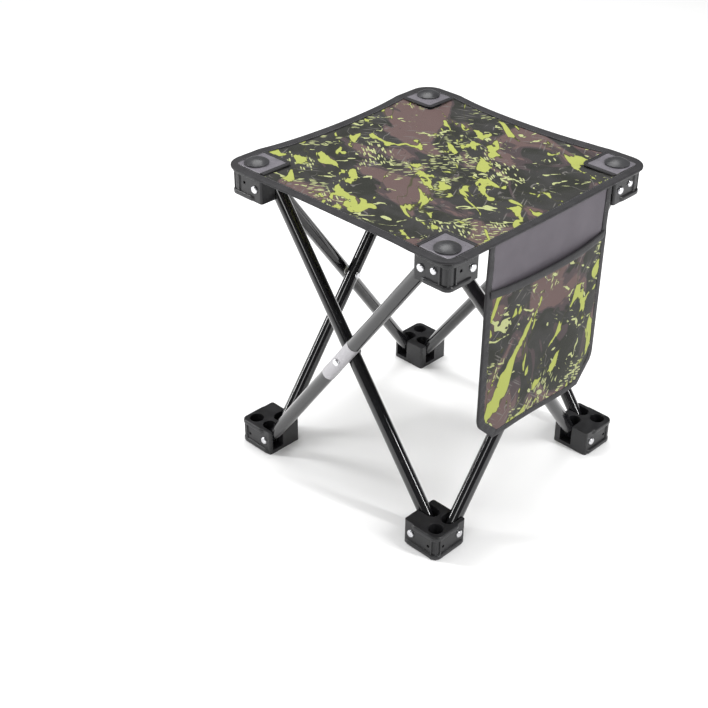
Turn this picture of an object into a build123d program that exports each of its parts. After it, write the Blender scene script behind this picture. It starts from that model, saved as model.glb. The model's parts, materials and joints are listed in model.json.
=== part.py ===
"""Folding camp stool: four corner feet, four corner hubs, four scissor pairs of tubes and a fabric seat.

Millimetres, +Z up. The origin is on the ground under the middle of the seat, and the side pocket hangs on +X.
Every corner and side repeats a quarter turn apart, so each piece is drawn once, at the front right corner
(+X, -Y) or for the tubes that stand in its foot, and is copied round the Z axis.
"""

import os
from math import hypot, sqrt

from build123d import *

# ---- overall sizes
seat_half = 175.0  # half the width of the seat over its edge tape
seat_corner_r = 25.0
hub_top_z = 390.0  # top of the hub mouldings
foot_shy = 4.5  # outer faces of the feet, inside the seat's edge
hub_shy = 6.5  # outer faces of the hubs, inside the seat's edge

# ---- leg tubes
tube_d = 17.0
tube_wall = 1.2
tube_end = 9.0  # tube beyond its last pin
tube_gap = 1.5  # between the two tubes of a side
tube_inset = 14.0  # mid-plane of the outer tubes, inside the hubs' outer faces
pivot_side_inset = 40.0  # the pins of a tube, along its side from the hubs' outer faces
pivot_inset = 18.0  # pin height above a foot's sole, and below a hub's top

# ---- corner mouldings
pivot_to_inboard = 11.0  # pin to the moulding's inboard face
moulding_h = 34.0
moulding_r = 9.0
sole_t = 7.0
rim_t = 7.0
flange_round = 2.4  # edges of the sole and rim flanges
waist_inset = 2.4  # the waist's outer faces, behind the flanges
waist_r = 3.0  # the waist's inboard corners
rim_start = 9.0  # inboard face to the start of the rim flange
rib_w = 1.8
rib_shy = 0.9  # ribs stop short of the flanges
rib_angles = (22.5, 45, 67.5)  # about the socket, from the side face
socket_r = 9.25
socket_depth = 24.0
socket_inset = 14.8  # socket axis from the outer faces
slot_play = 0.35  # each side of a tube
slot_end_play = 0.4  # past a tube's end as it turns

# ---- pins and rivets
pin_r = 3.0
pin_play = 0.05
pin_head_r = 4.8
pin_head_h = 2.2
pin_tip_wall = 2.2  # how far an outer tube's pin enters the wall behind its slot
long_tip_wall = 4.5  # the same for an inner tube's pin
cross_r = 2.5
cross_head_r = 4.6
cross_head_h = 1.8
cross_seat_gap = 0.4  # under the head of a crossing rivet
cross_tail_gap = 0.2
washer_r = 6.0
washer_play = 0.05
post_rivet_r = 2.0
post_rivet_head_r = 4.2
post_rivet_drop = 15.0  # post rivet below the hub's top

# ---- fabric seat and its corner fixings
tape_t = 0.8
tape_w = 12.0
tape_edge = 1.2  # tape outside the fabric's edge
fabric_t = 1.2
fabric_lift = 0.3  # seat above the hubs
seat_dip = 8.0
dip_margin = 1.0
cap_inset = 28.7  # a cap's axis, from the seat's edges
cap_r = 14.5
cap_edge_h = 1.4
cap_h = 6.5
post_r = 4.5
post_depth = 25.0  # post below the hub's top
post_play = 0.05
fabric_hole_play = 0.5
patch_t = 0.8
patch_inset = 55.5  # inner edges of a corner patch, from the seat's edges
patch_gap = 0.3

# ---- side pocket
pocket_half = 106.0  # half its width over the edge tape
pocket_top_drop = 2.0  # below the hubs' top
pocket_drop = 257.0
pocket_chamfer = 28.0
pocket_round = 8.0
pocket_cloth_t = 1.0
pocket_cavity = 5.4
pocket_mouth_drop = 56.0  # below the pocket's top
pocket_tape_w = 9.0
pouch_wall = 1.6

# ---- foil label on the front outer tube
label_len = 71.0
label_t = 0.3
label_side = 4.0  # the wrap's edges, past the tube's axis towards the inner tube

# ---- sizes that follow
foot_outer = seat_half - foot_shy
hub_outer = seat_half - hub_shy
outer_plane = hub_outer - tube_inset
pivot_reach = hub_outer - pivot_side_inset
cap_centre = seat_half - cap_inset
patch_inner = seat_half - patch_inset
pocket_top_z = hub_top_z - pocket_top_drop
pocket_mouth_z = pocket_top_z - pocket_mouth_drop
tube_r = tube_d / 2
inner_plane = outer_plane - tube_d - tube_gap
foot_pin_z = pivot_inset
hub_pin_z = hub_top_z - pivot_inset
cross_z = (foot_pin_z + hub_pin_z) / 2
inboard = pivot_reach - pivot_to_inboard
slot_r = tube_r + slot_play
swing_r = hypot(tube_end, tube_r) + slot_end_play  # room a tube's end needs round its pin
slot_floor = pivot_inset - swing_r
slot_back = swing_r - slot_r  # centre of the slot's round back, past the pin
tape_floor_z = hub_top_z + fabric_lift
fabric_z = tape_floor_z + tape_t
fabric_top_z = fabric_z + fabric_t
patch_z = fabric_top_z + patch_gap
cap_z = patch_z + patch_t
cap_top_z = cap_z + cap_h

CORNERS = ("front_right", "back_right", "back_left", "front_left")
OUTER_SIDES = ("right", "back", "left", "front")  # side of the outer tube that stands in each corner's foot
INNER_SIDES = ("front", "right", "back", "left")  # side of the inner tube that stands in each corner's foot

os.makedirs("parts", exist_ok=True)


def save(part, name):
    """Labels one piece and writes it."""
    part.label = name
    export_step(part, f"parts/{name}.step")


def save_round(part, names):
    """Writes the copies of a piece drawn at the front right corner, a quarter turn apart."""
    for quarter, name in enumerate(names):
        save(part.rotate(Axis.Z, 90 * quarter), name)


def corner_names(stem):
    """The four names of a corner piece."""
    return [f"{stem}_{corner}" for corner in CORNERS]


def tube_slot(across, along_x):
    """The space of one tube's slot, from the inboard face to a round back, from its floor up."""
    start = inboard - slot_r
    centre = pivot_reach + slot_back
    length = centre - start
    middle = (start + centre) / 2
    with BuildPart() as slot:
        with BuildSketch(Plane.XY.offset(slot_floor)):
            with Locations((middle, -across) if along_x else (across, -middle)):
                Rectangle(length if along_x else 2 * slot_r, 2 * slot_r if along_x else length)
            with Locations((centre, -across) if along_x else (across, -centre)):
                Circle(slot_r)
        extrude(amount=moulding_h)
    return slot.part


def pin_planes(outer):
    """Where the two tube pins of a moulding start, on its waist, and how long they are."""
    face = outer - waist_inset
    outer_tip = outer_plane - slot_r - pin_tip_wall
    inner_tip = inner_plane - slot_r - long_tip_wall
    return (
        (Plane(origin=(face, -pivot_reach, pivot_inset), z_dir=(-1, 0, 0)), face - outer_tip),
        (Plane(origin=(pivot_reach, -face, pivot_inset), z_dir=(0, 1, 0)), face - inner_tip),
    )


def flange(inner, outer, height):
    """A flange of a corner moulding, from the plane Z = 0 up, with rounded edges above and below."""
    middle = (outer + inner) / 2
    with BuildPart() as made:
        with BuildSketch():
            with Locations((middle, -middle)):
                RectangleRounded(outer - inner, outer - inner, moulding_r)
        extrude(amount=height)
        fillet(made.faces().filter_by(Axis.Z).edges(), flange_round)
    return made.part


def waist_outline(face):
    """Plan of a corner moulding behind its flanges, with a larger radius on the outer corner."""
    middle = (face + inboard) / 2
    outward = Axis((0, 0, 0), (1, -1, 0))
    with BuildSketch() as outline:
        with Locations((middle, -middle)):
            Rectangle(face - inboard, face - inboard)
        fillet(outline.vertices().sort_by(outward)[-1], moulding_r - waist_inset)
        fillet(outline.vertices().sort_by(outward)[:3], waist_r)
    return outline.sketch


def corner_ribs(outer, bore_at):
    """Plan of the ribs that stand round the outer corner of the waist, pointing away from the bore."""
    reach = outer - rib_shy
    size = 2 * (reach - bore_at)
    with BuildSketch() as ribs:
        for angle in rib_angles:
            with Locations(Location((bore_at, -bore_at, 0), (0, 0, -angle))):
                Rectangle(size, rib_w, align=(Align.MIN, Align.CENTER))
        with Locations((bore_at, -bore_at)):
            RectangleRounded(size, size, moulding_r - rib_shy, mode=Mode.INTERSECT)
    return ribs.sketch


def side_planes(face, bore_at):
    """Where the holes from the two outer faces to the corner bore start."""
    return (
        Plane(origin=(face, -bore_at, post_rivet_drop), z_dir=(-1, 0, 0)),
        Plane(origin=(bore_at, -face, post_rivet_drop), z_dir=(0, 1, 0)),
    )


def corner_moulding(outer, bore_at):
    """Body of a corner moulding, sole down: waist and ribs, sole and rim flanges, tube slots, pin and side holes."""
    face = outer - waist_inset
    with BuildPart() as body:
        with BuildSketch(Plane.XY):
            add(waist_outline(face))
        extrude(amount=moulding_h)
        with BuildSketch(Plane.XY):
            add(corner_ribs(outer, bore_at))
        extrude(amount=moulding_h - rim_t / 2)
        add(flange(inboard, outer, sole_t))
        add(flange(inboard + rim_start, outer, rim_t).translate((0, 0, moulding_h - rim_t)))
        add(tube_slot(outer_plane, along_x=False), mode=Mode.SUBTRACT)
        add(tube_slot(inner_plane, along_x=True), mode=Mode.SUBTRACT)
        for plane, length in pin_planes(outer):
            with BuildSketch(plane):
                Circle(pin_r)
            extrude(amount=length, mode=Mode.SUBTRACT)
        for plane in side_planes(face, bore_at):
            with BuildSketch(plane):
                Circle(post_rivet_r)
            extrude(amount=face - bore_at, mode=Mode.SUBTRACT)
    return body.part


def rivet(plane, shank_r, shank_len, head_r, head_h):
    """A round-headed rivet whose head sits on the plane and whose shank runs along the plane's normal."""
    with BuildPart() as made:
        with BuildSketch(plane):
            Circle(shank_r)
        extrude(amount=shank_len)
        with BuildSketch(plane):
            Circle(head_r)
        extrude(amount=-head_h)
        crown = made.faces().sort_by(Axis(plane.origin, -plane.z_dir))[-1]
        fillet(crown.edges(), 0.8 * head_h)
    return made.part


def leg_tube(foot_pin, hub_pin, across, cross_hole_r):
    """A leg tube between two pins, drilled for both and for the crossing rivet."""
    run = hub_pin - foot_pin
    along = run.normalized()
    crossing = foot_pin + run / 2
    with BuildPart() as made:
        with BuildSketch(Plane(origin=foot_pin - along * tube_end, x_dir=across, z_dir=along)):
            Circle(tube_r)
            Circle(tube_r - tube_wall, mode=Mode.SUBTRACT)
        extrude(amount=run.length + 2 * tube_end)
        for centre, radius in ((foot_pin, pin_r + pin_play), (hub_pin, pin_r + pin_play), (crossing, cross_hole_r)):
            with BuildSketch(Plane(origin=centre - across * tube_d, z_dir=across)):
                Circle(radius)
            extrude(amount=2 * tube_d, mode=Mode.SUBTRACT)
    return made.part


# ---- feet: sole down, with a round blind socket in the outer corner of the rim
socket_at = foot_outer - socket_inset
with BuildPart() as foot:
    add(corner_moulding(foot_outer, socket_at))
    with BuildSketch(Plane.XY.offset(moulding_h)):
        with Locations((socket_at, -socket_at)):
            Circle(socket_r)
    extrude(amount=-socket_depth, mode=Mode.SUBTRACT)
save_round(foot.part, corner_names("foot"))

# ---- hubs: the same form turned over about the corner's diagonal, bored for the cap's post
DIAGONAL = Axis((0, 0, 0), (1, -1, 0))
post_rivet_face = hub_outer - waist_inset
post_rivet_len = post_rivet_face - cap_centre + 2 * post_r
with BuildPart() as hub:
    add(corner_moulding(hub_outer, cap_centre))
    with BuildSketch(Plane.XY):
        with Locations((cap_centre, -cap_centre)):
            Circle(post_r + post_play)
    extrude(amount=post_depth + post_play, mode=Mode.SUBTRACT)
    with BuildSketch(Plane(origin=(post_rivet_face, -cap_centre, post_rivet_drop), z_dir=(-1, 0, 0))):
        Circle(post_rivet_r)
    extrude(amount=post_rivet_len, mode=Mode.SUBTRACT)
save_round(hub.part.rotate(DIAGONAL, 180).translate((0, 0, hub_top_z)), corner_names("hub"))

# ---- tube pins, fixed in the mouldings
with BuildPart() as foot_pins:
    for pin_plane, pin_length in pin_planes(foot_outer):
        add(rivet(pin_plane, pin_r, pin_length, pin_head_r, pin_head_h))
save_round(foot_pins.part, corner_names("foot_pins"))

with BuildPart() as hub_pins:
    for pin_plane, pin_length in pin_planes(hub_outer):
        add(rivet(pin_plane, pin_r, pin_length, pin_head_r, pin_head_h))
save_round(hub_pins.part.rotate(DIAGONAL, 180).translate((0, 0, hub_top_z)), corner_names("hub_pins"))

# ---- rivet through each hub and the post of its cap
post_rivet_plane = Plane(origin=(cap_centre, -post_rivet_face, hub_top_z - post_rivet_drop), z_dir=(0, 1, 0))
with BuildPart() as post_rivet:
    add(rivet(post_rivet_plane, post_rivet_r, post_rivet_len, post_rivet_head_r, pin_head_h))
save_round(post_rivet.part, corner_names("post_rivet"))

# ---- leg tubes: an outer and an inner one on each side
ACROSS_X = Vector(1, 0, 0)
ACROSS_Y = Vector(0, 1, 0)
outer_foot_pin = Vector(outer_plane, -pivot_reach, foot_pin_z)
outer_hub_pin = Vector(outer_plane, pivot_reach, hub_pin_z)
with BuildPart() as outer_tube:
    add(leg_tube(outer_foot_pin, outer_hub_pin, ACROSS_X, cross_r))
save_round(outer_tube.part, [f"tube_{side}_outer" for side in OUTER_SIDES])

inner_foot_pin = Vector(pivot_reach, -inner_plane, foot_pin_z)
inner_hub_pin = Vector(-pivot_reach, -inner_plane, hub_pin_z)
with BuildPart() as inner_tube:
    add(leg_tube(inner_foot_pin, inner_hub_pin, ACROSS_Y, cross_r + pin_play))
save_round(inner_tube.part, [f"tube_{side}_inner" for side in INNER_SIDES])

# ---- crossing rivets and the washers that keep the tubes apart
head_x = outer_plane + tube_r + cross_seat_gap
tail_x = inner_plane - tube_r - cross_tail_gap
head_plane = Plane(origin=(head_x, 0, cross_z), z_dir=(-1, 0, 0))
tail_plane = Plane(origin=(tail_x, 0, cross_z), z_dir=(1, 0, 0))
with BuildPart() as crossing_rivet:
    add(rivet(head_plane, cross_r, head_x - tail_x, cross_head_r, cross_head_h))
    add(rivet(tail_plane, cross_r, tube_r, cross_head_r, cross_head_h))
save_round(crossing_rivet.part, [f"crossing_rivet_{side}" for side in OUTER_SIDES])

with BuildPart() as washer:
    with BuildSketch(Plane(origin=(inner_plane + tube_r + washer_play, 0, cross_z), z_dir=(1, 0, 0))):
        Circle(washer_r)
        Circle(cross_r, mode=Mode.SUBTRACT)
    extrude(amount=tube_gap - 2 * washer_play)
save_round(washer.part, [f"crossing_washer_{side}" for side in OUTER_SIDES])

# ---- domed caps, each with a post that goes through the seat into its hub
dome_rise = cap_h - cap_edge_h
dome_r = (cap_r**2 + dome_rise**2) / (2 * dome_rise)
shoulder_z = cap_top_z - dome_r + sqrt(dome_r**2 - (cap_r / 2) ** 2)
with BuildPart() as cap:
    with BuildSketch(Plane(origin=(cap_centre, -cap_centre, 0), x_dir=(1, 0, 0), z_dir=(0, -1, 0))):
        with BuildLine():
            Polyline(
                (0, cap_top_z),
                (0, hub_top_z - post_depth),
                (post_r, hub_top_z - post_depth),
                (post_r, cap_z),
                (cap_r, cap_z),
                (cap_r, cap_z + cap_edge_h),
            )
            ThreePointArc((cap_r, cap_z + cap_edge_h), (cap_r / 2, shoulder_z), (0, cap_top_z))
        make_face()
    revolve(axis=Axis((cap_centre, -cap_centre, 0), (0, 0, 1)))
    with BuildSketch(post_rivet_plane):
        Circle(post_rivet_r)
    extrude(amount=post_rivet_len, mode=Mode.SUBTRACT)
save_round(cap.part, corner_names("cap"))

# ---- square patches between the caps and the seat
with BuildPart() as patch:
    patch_outer = seat_half - tape_w - patch_gap
    patch_size = patch_outer - patch_inner
    patch_middle = (patch_outer + patch_inner) / 2
    with BuildSketch(Plane.XY.offset(patch_z)):
        with Locations((patch_middle, -patch_middle)):
            Rectangle(patch_size, patch_size)
        with Locations((cap_centre, -cap_centre)):
            Circle(post_r + post_play, mode=Mode.SUBTRACT)
    extrude(amount=patch_t)
    fillet(patch.edges().filter_by(Axis.Z).sort_by(Axis((0, 0, 0), (1, -1, 0)))[-1], seat_corner_r - tape_w)
save_round(patch.part, corner_names("corner_patch"))

# ---- seat fabric: flat over the hubs, dished between them
with BuildPart() as seat_fabric:
    dish_r = hypot(inboard, inboard) - dip_margin
    disc_r = hypot(seat_half, seat_half)
    fabric_half = seat_half - tape_edge
    with BuildSketch(Plane.XZ):
        with BuildLine():
            Spline((0, fabric_z - seat_dip), (dish_r, fabric_z), tangents=((1, 0), (1, 0)))
            Polyline((dish_r, fabric_z), (disc_r, fabric_z), (disc_r, fabric_top_z), (dish_r, fabric_top_z))
            Spline((dish_r, fabric_top_z), (0, fabric_top_z - seat_dip), tangents=((-1, 0), (-1, 0)))
            Line((0, fabric_top_z - seat_dip), (0, fabric_z - seat_dip))
        make_face()
    revolve(axis=Axis.Z)
    with BuildSketch(Plane.XY.offset(fabric_z - 2 * seat_dip)):
        RectangleRounded(2 * fabric_half, 2 * fabric_half, seat_corner_r - tape_edge)
    extrude(amount=4 * seat_dip, mode=Mode.INTERSECT)
    with BuildSketch(Plane.XY.offset(fabric_z - seat_dip)):
        with GridLocations(2 * cap_centre, 2 * cap_centre, 2, 2):
            Circle(post_r + fabric_hole_play)
    extrude(amount=2 * seat_dip, mode=Mode.SUBTRACT)
save(seat_fabric.part, "seat_fabric")

# ---- seat edge tape, folded over the fabric's edge
with BuildPart() as seat_binding:
    with BuildSketch(Plane.XY.offset(tape_floor_z)):
        RectangleRounded(2 * seat_half, 2 * seat_half, seat_corner_r)
        tape_inner = seat_half - tape_w
        RectangleRounded(2 * tape_inner, 2 * tape_inner, seat_corner_r - tape_w, mode=Mode.SUBTRACT)
    extrude(amount=fabric_t + 2 * tape_t)
    with BuildSketch(Plane.XY.offset(fabric_z)):
        RectangleRounded(2 * fabric_half, 2 * fabric_half, seat_corner_r - tape_edge)
    extrude(amount=fabric_t, mode=Mode.SUBTRACT)
save(seat_binding.part, "seat_binding")

# ---- pocket layers, from the frame outwards
back_x = seat_half - tape_t - pocket_cavity - 2 * pocket_cloth_t
cavity_x = back_x + pocket_cloth_t
pouch_front_x = cavity_x + pocket_cavity
pocket_outer_x = pouch_front_x + pocket_cloth_t + tape_t
pocket_inner_x = back_x - tape_t
pocket_low_z = pocket_top_z - pocket_drop


def pocket_outline(inset, top_z):
    """Outline of the hanging pocket, cut square at top_z, with chamfered and rounded lower corners."""
    half = pocket_half - inset
    low = pocket_low_z + inset
    with BuildSketch() as outline:
        with Locations((0, (top_z + low) / 2)):
            Rectangle(2 * half, top_z - low)
        chamfer(outline.vertices().group_by(Axis.Y)[0], pocket_chamfer)
        fillet(outline.vertices().group_by(Axis.Y)[0], pocket_round)
    return outline.sketch


with BuildPart() as pocket_back:
    with BuildSketch(Plane.YZ.offset(back_x)):
        add(pocket_outline(tape_t, pocket_top_z))
    extrude(amount=pocket_cloth_t)
save(pocket_back.part, "pocket_back")

with BuildPart() as pocket_pouch:
    with BuildSketch(Plane.YZ.offset(cavity_x)):
        add(pocket_outline(tape_t, pocket_mouth_z))
    extrude(amount=pocket_cavity + pocket_cloth_t)
    with BuildSketch(Plane.YZ.offset(cavity_x)):
        add(pocket_outline(tape_t + pouch_wall, pocket_mouth_z + pouch_wall))
    extrude(amount=pocket_cavity, mode=Mode.SUBTRACT)
save(pocket_pouch.part, "pocket_pouch")

with BuildPart() as pocket_edge_tape:
    with BuildSketch(Plane.YZ.offset(pocket_inner_x)):
        add(pocket_outline(0, pocket_top_z))
    extrude(amount=2 * tape_t + pocket_cloth_t)
    with BuildSketch(Plane.YZ.offset(pocket_inner_x)):
        add(pocket_outline(0, pocket_mouth_z))
    extrude(amount=pocket_outer_x - pocket_inner_x)
    with BuildSketch(Plane.YZ.offset(pocket_inner_x)):
        add(pocket_outline(pocket_tape_w, pocket_top_z + tape_t))
    extrude(amount=pocket_outer_x - pocket_inner_x, mode=Mode.SUBTRACT)
    with BuildSketch(Plane.YZ.offset(back_x)):
        add(pocket_outline(tape_t, pocket_top_z + tape_t))
    extrude(amount=pocket_cloth_t, mode=Mode.SUBTRACT)
    with BuildSketch(Plane.YZ.offset(cavity_x)):
        add(pocket_outline(tape_t, pocket_mouth_z + tape_t))
    extrude(amount=pocket_cavity + pocket_cloth_t, mode=Mode.SUBTRACT)
save(pocket_edge_tape.part, "pocket_edge_tape")

with BuildPart() as pocket_mouth_tape:
    mouth_half = pocket_half - pocket_tape_w
    with BuildSketch(Plane.YZ.offset(pouch_front_x - tape_t)):
        with Locations((0, pocket_mouth_z - pocket_tape_w / 2 + tape_t)):
            Rectangle(2 * (mouth_half - patch_gap), pocket_tape_w)
    extrude(amount=pocket_cloth_t + 2 * tape_t)
    with BuildSketch(Plane.YZ.offset(pouch_front_x)):
        with Locations((0, pocket_mouth_z - pocket_tape_w)):
            Rectangle(2 * mouth_half, 2 * pocket_tape_w)
    extrude(amount=pocket_cloth_t, mode=Mode.SUBTRACT)
save(pocket_mouth_tape.part, "pocket_mouth_tape")

# ---- plain foil label wrapped on the outside of the front outer tube, round the crossing rivet
with BuildPart() as label:
    label_foot = Vector(-pivot_reach, -outer_plane, foot_pin_z)
    label_along = (Vector(pivot_reach, -outer_plane, hub_pin_z) - label_foot).normalized()
    label_crossing = Vector(0, -outer_plane, cross_z)
    with BuildSketch(
        Plane(origin=label_crossing - label_along * (label_len / 2), x_dir=ACROSS_Y, z_dir=label_along)
    ):
        Circle(tube_r + label_t)
        Circle(tube_r, mode=Mode.SUBTRACT)
        with Locations((label_side + tube_r, 0)):
            Rectangle(tube_d, 2 * tube_d, mode=Mode.SUBTRACT)
    extrude(amount=label_len)
    with BuildSketch(Plane(origin=label_crossing - ACROSS_Y * tube_d, z_dir=ACROSS_Y)):
        Circle(cross_r)
    extrude(amount=tube_d, mode=Mode.SUBTRACT)
save(label.part, "tube_label")

print("tube length between pins", round(hypot(2 * pivot_reach, hub_pin_z - foot_pin_z), 2))
print("overall height", cap_top_z)
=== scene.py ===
"""Folding camp stool: finishes for its frame, and the cloth of its seat and side pocket.

The frame, its joints and its hard pieces come packed. This script dresses them, and makes every soft piece:
the printed seat with its edge tape and corner patches, and the side pocket with its lining, pouch and tapes.
Metres, +Z up, origin on the ground under the middle of the seat.
"""

import json
import logging
import math
from collections.abc import Callable, Sequence
from dataclasses import dataclass, field
from enum import Enum

import bpy
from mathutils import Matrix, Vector

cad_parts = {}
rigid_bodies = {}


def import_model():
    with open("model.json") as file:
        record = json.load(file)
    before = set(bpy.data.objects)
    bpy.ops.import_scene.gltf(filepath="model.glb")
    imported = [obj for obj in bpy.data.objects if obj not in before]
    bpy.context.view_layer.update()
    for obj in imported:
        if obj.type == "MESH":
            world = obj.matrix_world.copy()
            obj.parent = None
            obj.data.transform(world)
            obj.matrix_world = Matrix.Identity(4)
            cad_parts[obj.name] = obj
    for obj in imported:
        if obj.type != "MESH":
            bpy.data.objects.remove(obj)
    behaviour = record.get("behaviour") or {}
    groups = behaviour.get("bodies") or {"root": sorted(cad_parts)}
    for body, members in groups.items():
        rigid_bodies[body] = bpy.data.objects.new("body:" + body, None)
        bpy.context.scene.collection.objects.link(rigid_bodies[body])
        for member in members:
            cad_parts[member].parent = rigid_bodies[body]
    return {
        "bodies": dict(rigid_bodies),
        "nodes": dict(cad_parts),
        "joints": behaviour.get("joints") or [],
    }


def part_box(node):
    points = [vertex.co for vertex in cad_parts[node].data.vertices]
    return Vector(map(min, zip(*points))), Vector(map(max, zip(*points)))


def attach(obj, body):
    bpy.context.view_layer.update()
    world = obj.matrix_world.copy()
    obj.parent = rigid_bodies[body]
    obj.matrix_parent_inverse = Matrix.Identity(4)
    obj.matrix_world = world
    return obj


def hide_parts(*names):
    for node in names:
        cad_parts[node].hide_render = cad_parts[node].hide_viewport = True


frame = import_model()

MM = 0.001
LOG = logging.getLogger("camp_stool")
CORNERS = {"front_right": (1, -1), "back_right": (1, 1), "back_left": (-1, 1), "front_left": (-1, -1)}

Point = tuple[float, float, float]
Plan = tuple[float, float]


def smooth(value: float, low: float, high: float) -> float:
    """Rises smoothly from 0 at low to 1 at high.

    Args:
        value: where to read the step.
        low: where it starts.
        high: where it ends.

    Returns:
        A number from 0 to 1.
    """
    t = min(1.0, max(0.0, (value - low) / (high - low)))
    return t * t * (3 - 2 * t)


def mixed(a: float, b: float, share: float) -> float:
    """A value between a and b, by share."""
    return a + (b - a) * share


# ---------------------------------------------------------------- materials


class Graph:
    """A material's nodes, with its Principled shader."""

    def __init__(self, name: str, roughness: float, metallic: float = 0.0) -> None:
        """Starts a material.

        Args:
            name: the material's name.
            roughness: the shader's roughness where nothing varies it.
            metallic: 1 for bare metal.
        """
        self.material = bpy.data.materials.new(name)
        self.material.use_nodes = True
        self.tree = self.material.node_tree
        self.shader = next(n for n in self.tree.nodes if n.type == "BSDF_PRINCIPLED")
        self.set(self.shader, {"Roughness": roughness, "Metallic": metallic})

    def set(self, node: bpy.types.Node, inputs: dict) -> None:
        """Links or sets a node's inputs.

        Args:
            node: the node.
            inputs: input name or index to a socket, a number or a colour.
        """
        for key, value in inputs.items():
            if isinstance(value, bpy.types.NodeSocket):
                self.tree.links.new(value, node.inputs[key])
            else:
                node.inputs[key].default_value = value

    def add(self, kind: str, inputs: dict | None = None, **settings: object) -> bpy.types.Node:
        """Adds one node.

        Args:
            kind: the node's type, without the words that every shader node's type starts with.
            inputs: what its inputs get.
            **settings: its other properties.

        Returns:
            The node.
        """
        node = self.tree.nodes.new("ShaderNode" + kind)
        for key, value in settings.items():
            setattr(node, key, value)
        self.set(node, inputs or {})
        return node

    def flat_place(self) -> bpy.types.NodeSocket:
        """The place on the flat cloth, in metres."""
        return self.add("UVMap", uv_map="flat").outputs["UV"]

    def solid_place(self) -> bpy.types.NodeSocket:
        """The place in the piece, in metres."""
        return self.add("TexCoord").outputs["Object"]

    def turned(self, place: bpy.types.NodeSocket, degrees: float, scale: Point) -> bpy.types.NodeSocket:
        """The place turned about Z, then scaled."""
        turn = self.add("Mapping", {"Vector": place, "Rotation": (0, 0, math.radians(degrees))})
        return self.add("Mapping", {"Vector": turn.outputs[0], "Scale": scale}).outputs[0]

    def noise(self, place: bpy.types.NodeSocket, scale: float, detail: float = 2.0, warp: float = 0.0,
              offset: float = 0.0) -> bpy.types.NodeSocket:
        """Noise over a place.

        Args:
            place: where it is read.
            scale: cells in a metre.
            detail: octaves.
            warp: distortion.
            offset: moves the pattern, for another draw of it.

        Returns:
            The noise, about 0.5 on average.
        """
        moved = self.add("Mapping", {"Vector": place, "Location": (offset, offset, offset)}).outputs[0]
        inputs = {"Vector": moved, "Scale": scale, "Detail": detail, "Distortion": warp}
        return self.add("TexNoise", inputs).outputs[0]

    def ranged(self, value: bpy.types.NodeSocket, source: Plan, target: Plan) -> bpy.types.NodeSocket:
        """A value moved from one range to another, and held at the ends.

        Args:
            value: the value.
            source: the range that it is read in.
            target: what the ends of that range become.

        Returns:
            The moved value.
        """
        inputs = {"Value": value, "From Min": source[0], "From Max": source[1]}
        inputs |= {"To Min": target[0], "To Max": target[1]}
        return self.add("MapRange", inputs).outputs[0]

    def step(self, value: bpy.types.NodeSocket, low: float, high: float) -> bpy.types.NodeSocket:
        """0 below low, 1 above high, and straight between."""
        return self.ranged(value, (low, high), (0.0, 1.0))

    def maths(self, operation: str, a: object, b: object = 0.0) -> bpy.types.NodeSocket:
        """One Math node on two values."""
        return self.add("Math", {0: a, 1: b}, operation=operation).outputs[0]

    def mix(self, share: object, a: object, b: object) -> bpy.types.NodeSocket:
        """Two colours mixed by share."""
        node = self.add("Mix", data_type="RGBA")
        colours = [s for s in node.inputs if s.type == "RGBA"]
        node_share = next(s for s in node.inputs if s.name == "Factor" and s.type == "VALUE")
        for socket, value in ((node_share, share), (colours[0], a), (colours[1], b)):
            if isinstance(value, bpy.types.NodeSocket):
                self.tree.links.new(value, socket)
            else:
                socket.default_value = (*value, 1.0) if isinstance(value, tuple) else value
        return next(s for s in node.outputs if s.type == "RGBA")

    def clouded(self, place: bpy.types.NodeSocket, scale: float, detail: float, colour: Point,
                gain: float) -> bpy.types.NodeSocket:
        """A colour that drifts to a paler or darker one in soft clouds.

        Args:
            place: where it is read.
            scale: clouds in a metre.
            detail: octaves.
            colour: the colour.
            gain: what it is multiplied by in the clouds.

        Returns:
            The colour.
        """
        cloud = self.step(self.noise(place, scale, detail), 0.3, 0.7)
        return self.mix(cloud, colour, tuple(gain * c for c in colour))

    def bump(self, height: bpy.types.NodeSocket, distance: float, strength: float = 1.0,
             under: bpy.types.NodeSocket | None = None) -> bpy.types.NodeSocket:
        """A normal bent by a height.

        Args:
            height: the height, from 0 to 1.
            distance: how far 1 stands out, in metres.
            strength: its share.
            under: the normal that it adds to.

        Returns:
            The normal.
        """
        inputs = {"Height": height, "Distance": distance, "Strength": strength}
        if under is not None:
            inputs["Normal"] = under
        return self.add("Bump", inputs).outputs[0]

    def weave(self, place: bpy.types.NodeSocket, pitch: float) -> bpy.types.NodeSocket:
        """Height of a plain weave, with its threads a pitch apart."""
        waves = []
        for direction in ("X", "Y"):
            wave = self.add("TexWave", {"Vector": place, "Scale": math.pi / (10 * pitch),
                                        "Distortion": 0.0}, wave_type="BANDS", bands_direction=direction)
            waves.append(wave.outputs[1])
        return self.maths("MULTIPLY", waves[0], waves[1])

    def done(self, inputs: dict) -> bpy.types.Material:
        """Sets the shader's inputs and gives the material."""
        self.set(self.shader, inputs)
        return self.material


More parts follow.
